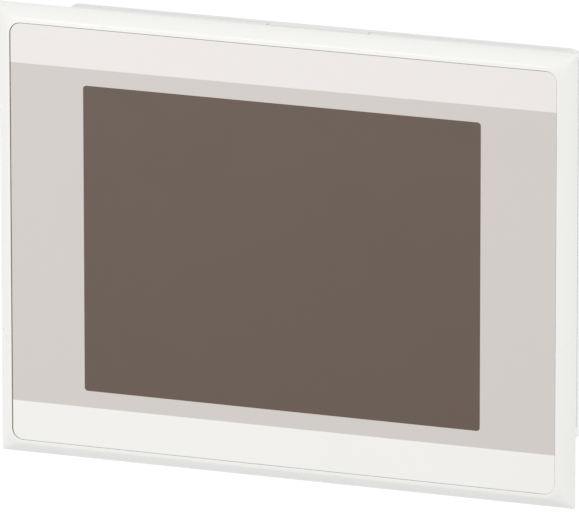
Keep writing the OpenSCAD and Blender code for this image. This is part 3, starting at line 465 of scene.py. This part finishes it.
def ribbon_film(name, axis):
    """Amber polyimide with copper tracks that run along the ribbon."""
    material, tree, shader = new_finish(name, 0.3, 0.05)
    tracks = place(tree, f"stripes_{axis}", Pitch=1.0 * mm, Share=0.55)
    paint = mix_colours(tree, tracks, (0.62, 0.33, 0.08), (0.78, 0.47, 0.16))
    tree.links.new(paint, shader.inputs["Base Color"])
    relief(tree, shader, tracks, 0.00002)
    return material


dress(clear_sheet("clear_tape", (0.80, 0.78, 0.70), 0.35, 0.6), "film_adhesive")
dress(clear_sheet("conductive_film", (0.75, 0.80, 0.82), 0.12, 0.8), "touch_film")
dress(clear_sheet("sensor_glass", (0.78, 0.86, 0.85), 0.04, 1.0), "touch_glass")
dress(ribbon_film("touch_ribbon_film", "Z"), "touch_flex")


# ---------------------------------------------------------------- gaskets
# A ring of closed-cell foam keeps dust off the display. The panel gasket is a moulded rubber
# ring that sits in the frame's groove, with two round beads that press on the panel.

def soft_rubber(name, colour, cell, depth, roughness):
    """Rubber or foam, with relief the size of its cells."""
    material, tree, shader = new_finish(name, roughness, 0.05)
    tint(tree, shader, colour, 0.12)
    relief(tree, shader, place(tree, "eroded_grain", Scale=cell), depth)
    return material


dress(soft_rubber("dust_foam", (0.045, 0.045, 0.048), 1600.0, 0.00008, 0.85), "dust_gasket")
seal_rubber = soft_rubber("seal_rubber", (0.022, 0.022, 0.024), 4000.0, 0.000008, 0.6)
bead_steps = 20
bead_h = 0.45 * mm
bm = bmesh.new()
rings = [ring(bm, gasket_high.x, gasket_high.z, gasket_low.y, groove_out_r)]
for step in range(bead_steps + 1):
    across = step / bead_steps
    inset = gasket_w * across
    y = gasket_high.y - bead_h * (1 - abs(math.sin(2 * math.pi * across)))
    radius = max(groove_out_r - inset, groove_in_r)
    rings.append(ring(bm, gasket_high.x - inset, gasket_high.z - inset, y, radius))
rings.append(ring(bm, groove_x, groove_z, gasket_low.y, groove_in_r))
skin(bm, rings + rings[:1])
bmesh.ops.recalc_face_normals(bm, faces=bm.faces)
beaded_seal = add_piece("beaded_seal", bm, "case", "seal_rubber", seal_rubber, sharp=50)
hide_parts("panel_gasket")


# ---------------------------------------------------------------- display module
# The display is bought as one module: a folded steel frame round a dark polarised glass
# cell, a milky diffuser and an acrylic light guide lit by a strip of LEDs from below, all
# in a white moulded tray. A ribbon and a two-wire lead run back to the main board.

streaks_per_metre = 700.0


def build_streaks():
    """Fine streaks of rolled, drawn or turned metal, from the number per metre on each axis."""
    group, given, out = new_group("drawn_streaks", dict.fromkeys("XYZ", streaks_per_metre), "Height")
    density = group.nodes.new("ShaderNodeCombineXYZ")
    for axis in "XYZ":
        group.links.new(given.outputs[axis], density.inputs[axis])
    spread = group.nodes.new("ShaderNodeVectorMath")
    spread.operation = "MULTIPLY"
    group.links.new(given.outputs["Vector"], spread.inputs[0])
    group.links.new(density.outputs["Vector"], spread.inputs[1])
    height = noise_node(group, spread.outputs["Vector"], 1.0, 3.0)
    group.links.new(height, out.inputs["Height"])


build_streaks()


def rolled_metal(name, colour, roughness, along=(1.0, 1.0, 14.0), rub=1.2):
    """Rolled, drawn or turned metal, its streaks this many times as long on each axis."""
    material, tree, shader = new_finish(name, roughness, 0.08, 1.0)
    tint(tree, shader, colour, 0.06, rub)
    x, y, z = (streaks_per_metre / length for length in along)
    relief(tree, shader, place(tree, "drawn_streaks", X=x, Y=y, Z=z), 0.000008)
    return material


lamp_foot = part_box("led_bar")[0].z + 2.6 * mm


def lit_strip(name):
    """A white strip whose lamps have yellow faces above the strip's edge."""
    material, tree, shader = new_finish(name, 0.4)
    split = tree.nodes.new("ShaderNodeSeparateXYZ")
    tree.links.new(tree.nodes["where"].outputs["Object"], split.inputs["Vector"])
    lamps = math_node(tree, "GREATER_THAN", split.outputs["Z"], lamp_foot)
    cloud = place(tree, "slow_drift", Scale=30.0)
    white = mix_colours(tree, cloud, (0.80, 0.80, 0.77), (0.86, 0.86, 0.84))
    paint = mix_colours(tree, lamps, white, (0.90, 0.72, 0.18))
    tree.links.new(paint, shader.inputs["Base Color"])
    return material


def dotted_acrylic(name):
    """Clear acrylic with rows of etched dots that turn the light forwards."""
    material, tree, shader = new_finish(name, 0.08, 0.03)
    tint(tree, shader, (0.88, 0.93, 0.93), 0.01)
    shader.inputs["Transmission Weight"].default_value = 0.8
    columns = place(tree, "stripes_X", Pitch=1.5 * mm, Share=0.4)
    rows = place(tree, "stripes_Z", Pitch=1.5 * mm, Share=0.4)
    dots = math_node(tree, "MULTIPLY", columns, rows)
    relief(tree, shader, dots, 0.00005)
    return material


sheet_steel = rolled_metal("sheet_steel", (0.60, 0.61, 0.62), 0.36)
display_glass = moulded_plastic("display_glass", (0.030, 0.022, 0.018), 0.12,
                                grain=5000.0, depth=0.000001)
milky_sheet = moulded_plastic("milky_sheet", (0.86, 0.87, 0.87), 0.55,
                              grain=4000.0, depth=0.000004)
cream_plastic = moulded_plastic("cream_plastic", (0.80, 0.74, 0.58), 0.4)
dress(sheet_steel, "lcd_bezel")
dress(display_glass, "lcd_cell")
dress(milky_sheet, "diffuser_sheet")
dress(dotted_acrylic("dotted_acrylic"), "light_guide")
dress(lit_strip("lit_strip"), "led_bar")
dress(moulded_plastic("tray_plastic", (0.82, 0.82, 0.79), 0.5), "lcd_tray")
dress(ribbon_film("display_ribbon_film", "X"), "lcd_flex")
dress(cream_plastic, "backlight_lead")


# ---------------------------------------------------------------- carrier plate and fixings
# A zinc-plated steel plate is screwed to four bosses of the frame behind the display. Four
# turned brass spacers stand on it and carry the main board, held by plated screws.

zinc_screw = rolled_metal("zinc_screw", (0.62, 0.63, 0.64), 0.3, (1.0, 1.0, 1.0))
turned_brass = rolled_metal("turned_brass", (0.78, 0.57, 0.22), 0.28, (3.0, 1.0, 3.0))
dress(sheet_steel, "carrier_plate")
dress(zinc_screw, "carrier_screws", "board_screws")
dress(turned_brass, "board_spacers")


# ---------------------------------------------------------------- main board
# Four-layer glass-epoxy board with a green solder mask over copper tracks, cut from its
# panel so that the edges show the pale laminate. Moulded chips, cans and coils stand on
# its back, with small soldered parts between them.

def solder_mask(name):
    """Green mask with paler tracks under it, and bare laminate on the cut edges."""
    material, tree, shader = new_finish(name, 0.33, 0.05)
    upright = place(tree, "stripes_X", Pitch=1.27 * mm, Share=0.3)
    level = place(tree, "stripes_Z", Pitch=1.27 * mm, Share=0.3)
    runs = place(tree, "stripes_Z", Pitch=21.0 * mm, Share=0.62)
    columns = place(tree, "stripes_X", Pitch=17.0 * mm, Share=0.45)
    along = math_node(tree, "MULTIPLY", upright, runs)
    across = math_node(tree, "MULTIPLY", level, columns)
    tracks = math_node(tree, "MAXIMUM", along, across)
    mask = mix_colours(tree, tracks, (0.012, 0.105, 0.040), (0.030, 0.205, 0.075))
    split = tree.nodes.new("ShaderNodeSeparateXYZ")
    tree.links.new(tree.nodes["where"].outputs["Normal"], split.inputs["Vector"])
    face = math_node(tree, "ABSOLUTE", split.outputs["Y"], 0.0)
    cut_edge = math_node(tree, "LESS_THAN", face, 0.5)
    paint = mix_colours(tree, cut_edge, mask, (0.52, 0.48, 0.26))
    tree.links.new(paint, shader.inputs["Base Color"])
    relief(tree, shader, tracks, 0.00003)
    return material


can_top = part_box("power_parts")[1].y - 0.2 * mm


def sleeved_can(name):
    """Dark sleeve or ferrite with bare aluminium on the tops of the cans."""
    material, tree, shader = new_finish(name, 0.4)
    split = tree.nodes.new("ShaderNodeSeparateXYZ")
    tree.links.new(tree.nodes["where"].outputs["Object"], split.inputs["Vector"])
    tops = math_node(tree, "GREATER_THAN", split.outputs["Y"], can_top)
    cloud = place(tree, "slow_drift", Scale=40.0)
    sleeve = mix_colours(tree, cloud, (0.045, 0.05, 0.065), (0.07, 0.075, 0.09))
    paint = mix_colours(tree, tops, sleeve, (0.75, 0.76, 0.78))
    tree.links.new(paint, shader.inputs["Base Color"])
    tree.links.new(tops, shader.inputs["Metallic"])
    return material


chip_epoxy = moulded_plastic("chip_epoxy", (0.028, 0.028, 0.030), 0.5,
                             grain=5000.0, depth=0.000006, change=0.1, rub=0.6)
ceramic_tan = moulded_plastic("ceramic_tan", (0.42, 0.30, 0.18), 0.4,
                              grain=5000.0, depth=0.000002, change=0.08)
solder_tin = rolled_metal("solder_tin", (0.72, 0.73, 0.74), 0.25, (1.0, 1.0, 1.0), 0.3)
sink_aluminium = rolled_metal("sink_aluminium", (0.66, 0.67, 0.69), 0.4, (1.0, 1.0, 30.0))
dress(solder_mask("solder_mask"), "main_board")
dress(cream_plastic, "flex_sockets")
dress(chip_epoxy, "processor", "memory_chips", "interface_chips")
dress(sink_aluminium, "heat_sink")
dress(sleeved_can("sleeved_can"), "power_parts")


def brick(bm, low, high, index=0):
    """A block between two corners, in one of the piece's finishes."""
    size = [b - a for a, b in zip(low, high)]
    middle = [(a + b) / 2 for a, b in zip(low, high)]
    lay = Matrix.Translation(middle) @ Matrix.Diagonal((*size, 1))
    made = bmesh.ops.create_cube(bm, size=1, matrix=lay)
    for face in {f for v in made["verts"] for f in v.link_faces}:
        face.material_index = index


board_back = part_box("main_board")[1].y

# Chips with legs: their middle on X and Z, their width and their height, in millimetres.
legged_chips = ((15, 4, 11, 13), (15, 19, 11, 13), (-10, 39, 18, 12), (8, 40, 12, 8),
                (0, -8, 12, 6))
leg_pitch, leg_reach, leg_w, leg_t = 1.27 * mm, 0.9 * mm, 0.4 * mm, 0.25 * mm
chip_ends = 2 * mm
bm = bmesh.new()
for x, z, width, height in legged_chips:
    gaps = int((height * mm - chip_ends) / leg_pitch)
    for side in (-1, 1):
        edge = (x + side * width / 2) * mm
        near, far = sorted((edge, edge + side * leg_reach))
        for leg in range(gaps + 1):
            middle = z * mm + (leg - gaps / 2) * leg_pitch
            brick(bm, (near, board_back, middle - leg_w / 2),
                  (far, board_back + leg_t, middle + leg_w / 2))
add_piece("chip_legs", bm, "case", "screw_steel", solder_tin)

# Rows of small parts: the row's middle on X, its foot on Z, in millimetres, and how many.
small_rows = ((-30, 30, 9), (-30, 26, 9), (25, 18, 6), (25, 12, 6), (40, 8, 5), (-28, -20, 5),
              (8, -25, 5), (45, 42, 6))
small_long, small_wide, small_high = 1.6 * mm, 0.8 * mm, 0.6 * mm
small_pitch, cap_end, cap_proud, cap_step = 2.4 * mm, 0.3 * mm, 0.02 * mm, 0.03 * mm
top = board_back + small_high
bm = bmesh.new()
for row_x, row_z, count in small_rows:
    z = row_z * mm
    for part in range(count):
        x = row_x * mm + part * small_pitch - (count * small_pitch) / 2
        brick(bm, (x, board_back, z), (x + small_wide, top - cap_step, z + small_long))
        for end in (z, z + small_long - cap_end):
            brick(bm, (x - cap_proud, board_back, end),
                  (x + small_wide + cap_proud, top, end + cap_end), 1)
add_piece("small_soldered_parts", bm, "case", "chip_black", ceramic_tan, solder_tin)


# ---------------------------------------------------------------- sockets in the recess
# Standard board sockets reach through the recess: folded and tinned shells with soldered
# tabs, black or white moulded inserts, and gilt contacts inside them. The serial socket is
# held to the housing by two hexagonal jack screws.

def cad_copy(node):
    """A CAD part's own shape with its loose triangles joined into whole faces."""
    bm = bmesh.new()
    bm.from_mesh(nodes[node].data)
    bmesh.ops.remove_doubles(bm, verts=bm.verts, dist=0.001 * mm)
    bmesh.ops.dissolve_limit(bm, angle_limit=math.radians(0.3), verts=bm.verts, edges=bm.edges)
    for face in bm.faces:
        face.material_index = 0
    return bm


ease_steps, ease_from = 2, math.radians(25)


def ease(bm, width, wanted=None):
    """Rounds over the arrises, all of them or only the wanted ones."""
    arrises = [e for e in bm.edges if len(e.link_faces) == 2 and e.calc_face_angle() > ease_from]
    if wanted:
        arrises = [e for e in arrises if wanted(e)]
    bmesh.ops.bevel(bm, geom=arrises, offset=width, offset_type="OFFSET", affect="EDGES",
                    segments=ease_steps, profile=0.5, material=-1, clamp_overlap=False)


def mark_contacts(bm, widest, deepest, farthest):
    """Gives the second finish to the narrow faces near the middle, which are the contacts'."""
    every_x = [v.co.x for v in bm.verts]
    middle = (min(every_x) + max(every_x)) / 2
    for face in bm.faces:
        across = [v.co.x for v in face.verts]
        through = [v.co.y for v in face.verts]
        narrow = max(across) - min(across) < widest and max(through) - min(through) < deepest
        near = abs((max(across) + min(across)) / 2 - middle) < farthest
        face.material_index = int(narrow and near)


def finish_part(node, slot, width, *materials, body="case", contacts=None, wanted=None):
    """Replaces a CAD part by its eased copy; contacts says which faces take the second finish."""
    bm = cad_copy(node)
    if contacts:
        mark_contacts(bm, *contacts)
    ease(bm, width, wanted)
    piece = add_piece(f"{node}_eased", bm, body, slot, *materials, sharp=35)
    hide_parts(node)


tinned_sheet = rolled_metal("tinned_sheet", (0.70, 0.71, 0.72), 0.27, (1.0, 1.0, 8.0), 0.6)
black_insert = moulded_plastic("black_insert", (0.016, 0.016, 0.018), 0.42,
                               grain=3500.0, depth=0.000006, change=0.1, rub=0.5)
white_insert = moulded_plastic("white_insert", (0.80, 0.80, 0.79), 0.38,
                               grain=3500.0, depth=0.000004)
gilt_contact = rolled_metal("gilt_contact", (0.88, 0.62, 0.22), 0.24, (1.0, 1.0, 6.0), 0.2)

# How wide and deep a contact's faces may be, and how far from the middle they lie.
wire_size = (0.36 * mm, 2.55 * mm, 3.9 * mm)
strip_size = (1.02 * mm, 0.32 * mm, 4 * mm)
hole_size = (0.36 * mm, 0.36 * mm, 6.4 * mm)
finish_part("network_shell", "tinned_shell", 0.08 * mm, tinned_sheet)
finish_part("network_insert", "insert_black", 0.05 * mm, black_insert, gilt_contact,
            contacts=wire_size)
finish_part("usb_host_shell", "tinned_shell", 0.08 * mm, tinned_sheet)
finish_part("usb_host_tongue", "tongue_white", 0.04 * mm, white_insert, gilt_contact,
            contacts=strip_size)
finish_part("usb_device_shell", "tinned_shell", 0.12 * mm, tinned_sheet)
finish_part("usb_device_tongue", "tongue_white", 0.04 * mm, white_insert, gilt_contact,
            contacts=strip_size)
finish_part("serial_shell", "tinned_shell", 0.08 * mm, tinned_sheet)
finish_part("serial_insert", "insert_black", 0.03 * mm, black_insert, gilt_contact,
            contacts=hole_size)
finish_part("jack_screws", "screw_steel", 0.1 * mm, zinc_screw)


# ---------------------------------------------------------------- pluggable power terminal
# A green header is soldered to the board and a green plug pushes into it. The plug's slotted
# screws raise plated wire clamps that press each wire against its contact bar.

terminal_green = moulded_plastic("terminal_green", (0.045, 0.25, 0.085), 0.38,
                                 depth=0.000005, change=0.05, rub=0.5)
finish_part("power_header", "terminal_green", 0.15 * mm, terminal_green)
dress(gilt_contact, "header_pins", "plug_contacts")
clamp_room = 0.3 * mm
ledge_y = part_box("wire_clamp_1")[1].y + clamp_room


def is_off_ledge(edge):
    """Every arris but those of the narrow ledge round each screw's bore, which stay sharp."""
    return any(abs(v.co.y - ledge_y) > same_level for v in edge.verts)


finish_part("power_plug", "terminal_green", 0.1 * mm, terminal_green, body="power_plug",
            wanted=is_off_ledge)
for pole in (1, 2, 3):
    finish_part(f"terminal_screw_{pole}", "screw_steel", 0.05 * mm, zinc_screw,
                body=f"terminal_screw_{pole}")
    finish_part(f"wire_clamp_{pole}", "screw_steel", 0.05 * mm, solder_tin,
                body=f"wire_clamp_{pole}")


# ---------------------------------------------------------------- memory card, coin cell, reset
# The card slides into a folded socket at the right side and stands out a little. The clock's
# coin cell sits in a black holder under a sprung clip. A small red button in a black switch
# is reached through the recess.

card_black = moulded_plastic("card_black", (0.020, 0.021, 0.024), 0.4,
                             depth=0.000005, change=0.1, rub=0.5)
blank_paper = moulded_plastic("blank_paper", (0.78, 0.78, 0.76), 0.6,
                              grain=1800.0, depth=0.000006)
paper_in, paper_deep, card_arris = 1.8 * mm, 0.1 * mm, 0.25 * mm
bm = cad_copy("memory_card")
for side in (-1, 1):
    paper = next(f for f in bm.faces if f.normal.y * side > 0.9)
    bmesh.ops.inset_individual(bm, faces=[paper], thickness=paper_in, depth=-paper_deep)
    paper.material_index = 1
ease(bm, card_arris, lambda e: all(f.material_index == 0 for f in e.link_faces))
memory_card = add_piece("memory_card_eased", bm, "memory_card", "card_black",
                        card_black, blank_paper)
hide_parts("memory_card")
finish_part("card_socket", "tinned_shell", 0.1 * mm, tinned_sheet)
dress(chip_epoxy, "cell_holder")
dress(rolled_metal("nickel_cell", (0.72, 0.72, 0.71), 0.26, (4.0, 1.0, 4.0)), "coin_cell")
dress(gilt_contact, "cell_clip")
finish_part("reset_switch", "chip_black", 0.1 * mm, chip_epoxy)
red_button = moulded_plastic("red_button", (0.50, 0.02, 0.015), 0.32,
                             depth=0.000004, change=0.04, rub=0.4)
finish_part("reset_button", "button_red", 0.1 * mm, red_button, body="reset_button")


# ---------------------------------------------------------------- rear housing
# One white moulding closes the back: a box with a chamfered rear, slots for the air, a
# recess over the sockets and a fine parting line round it. Four cross-head screws hold it
# to the frame's posts, and a blank silver label lies in a shallow pocket.

seam_near, seam_far = 23.9 * mm, 27.1 * mm
shortest_eased = 0.3 * mm


def is_outer_arris(edge):
    """Every arris but the short ones and those of the parting line, which stay sharp."""
    in_seam = all(seam_near < v.co.y < seam_far for v in edge.verts)
    return not in_seam and edge.calc_length() > shortest_eased


bm = cad_copy("rear_housing")
ease(bm, 0.12 * mm, wanted=is_outer_arris)
housing = add_piece("rear_moulding", bm, "case", "white_moulding", white_moulding, sharp=35)
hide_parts("rear_housing")
finish_part("rear_screws", "screw_steel", 0.08 * mm, zinc_screw)

label_silver = rolled_metal("label_silver", (0.60, 0.61, 0.62), 0.42, (12.0, 1.0, 1.0), 0.0)
label_line = moulded_plastic("label_line", (0.12, 0.12, 0.13), 0.5, grain=4000.0, depth=0.000001)
plate_low, plate_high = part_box("rating_plate")
plate_mid = (plate_low + plate_high) / 2
plate_x, plate_z = (plate_high.x - plate_low.x) / 2, (plate_high.z - plate_low.z) / 2
plate_r, plate_arris, line_in, line_w = 1 * mm, 0.04 * mm, 0.55 * mm, 0.3 * mm
bm = bmesh.new()
rings = [
    ring(bm, plate_x, plate_z, plate_low.y, plate_r),
    ring(bm, plate_x, plate_z, plate_high.y - plate_arris, plate_r),
    ring(bm, plate_x - plate_arris, plate_z - plate_arris, plate_high.y, plate_r - plate_arris),
]
skin(bm, rings)
bmesh.ops.edgeloop_fill(bm, edges=rings[0])
top = bmesh.ops.edgeloop_fill(bm, edges=rings[-1])["faces"]
bmesh.ops.inset_region(bm, faces=top, thickness=line_in, use_even_offset=True)
line = bmesh.ops.inset_region(bm, faces=top, thickness=line_w, use_even_offset=True)["faces"]
for face in line:
    face.material_index = 1
bmesh.ops.translate(bm, verts=bm.verts, vec=(plate_mid.x, 0, plate_mid.z))
bmesh.ops.recalc_face_normals(bm, faces=bm.faces)
blank_plate = add_piece("blank_plate", bm, "case", "blank_label", label_silver, label_line)
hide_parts("rating_plate")


# ---------------------------------------------------------------- studio
# A plain pale floor well below the panel, which hangs as if its cut-out held it. Soft white
# light comes from all round, with the strongest soft box above the front at the left and
# weaker ones in front, above and at the right. The floor throws no light on the object.

floor_drop, floor_size = 0.12, 20
floor_mesh = bpy.data.meshes.new("floor")
bm = bmesh.new()
bmesh.ops.create_grid(bm, x_segments=1, y_segments=1, size=floor_size,
                      matrix=Matrix.Translation((0, 0, frame_low.z - floor_drop)))
bm.to_mesh(floor_mesh)
bm.free()
floor = bpy.data.objects.new("floor", floor_mesh)
bpy.context.scene.collection.objects.link(floor)
floor_paint = bpy.data.materials.new("pale_floor")
floor_paint.use_nodes = True
floor_shader = floor_paint.node_tree.nodes["Principled BSDF"]
floor_shader.inputs["Base Color"].default_value = (0.9, 0.9, 0.9, 1)
floor_shader.inputs["Roughness"].default_value = 0.9
floor_shader.inputs["Specular IOR Level"].default_value = 0.0
floor_shader.inputs["Emission Color"].default_value = (1, 1, 1, 1)
floor_shader.inputs["Emission Strength"].default_value = 0.25
floor_mesh.materials.append(floor_paint)
floor.visible_diffuse = False

scene = bpy.context.scene
scene.view_settings.view_transform = "Standard"
world = bpy.data.worlds.new("soft_white")
world.use_nodes = True
world.node_tree.nodes["Background"].inputs["Color"].default_value = (1, 1, 1, 1)
world.node_tree.nodes["Background"].inputs["Strength"].default_value = 0.75
scene.world = world


def soft_box(name, place_at, side, power):
    """A square soft light that faces the object."""
    light = bpy.data.lights.new(name, "AREA")
    light.size = side
    light.energy = power
    lamp = bpy.data.objects.new(name, light)
    lamp.location = place_at
    lamp.rotation_mode = "QUATERNION"
    lamp.rotation_quaternion = (-Vector(place_at)).to_track_quat("-Z", "Y")
    bpy.context.scene.collection.objects.link(lamp)


soft_box("front_box", (-0.5, -1.0, -0.05), side=0.6, power=1.9)
soft_box("key_box", (-0.85, -2.0, 1.35), side=0.8, power=14.0)
soft_box("high_box", (0, -0.6, 2.2), side=1.6, power=3.2)
soft_box("side_box", (1.6, 0.0, 0.4), side=1.0, power=6.5)

azimuth, elevation, roll = math.radians(20.24), math.radians(15.61), math.radians(-0.04)
distance, slide_x, slide_z = 3.198, 2.38 * mm, 0.53 * mm
focal_px, image_px, sensor_w = 11550, 579, 36
back = Vector((math.sin(azimuth) * math.cos(elevation),
               -math.cos(azimuth) * math.cos(elevation), math.sin(elevation)))
right = (-back).cross(Vector((0, 0, 1))).normalized()
up = right.cross(-back)
camera_data = bpy.data.cameras.new("camera")
camera_data.sensor_width = sensor_w
camera_data.lens = sensor_w * focal_px / image_px
camera = bpy.data.objects.new("camera", camera_data)
turned = (right * math.cos(roll) + up * math.sin(roll),
          up * math.cos(roll) - right * math.sin(roll), back)
camera.matrix_world = Matrix([[axis[row] for axis in turned] for row in range(3)]).to_4x4()
camera.location = right * slide_x + up * slide_z + back * distance + Vector((0, film_low.y, 0))
bpy.context.scene.collection.objects.link(camera)
scene.camera = camera
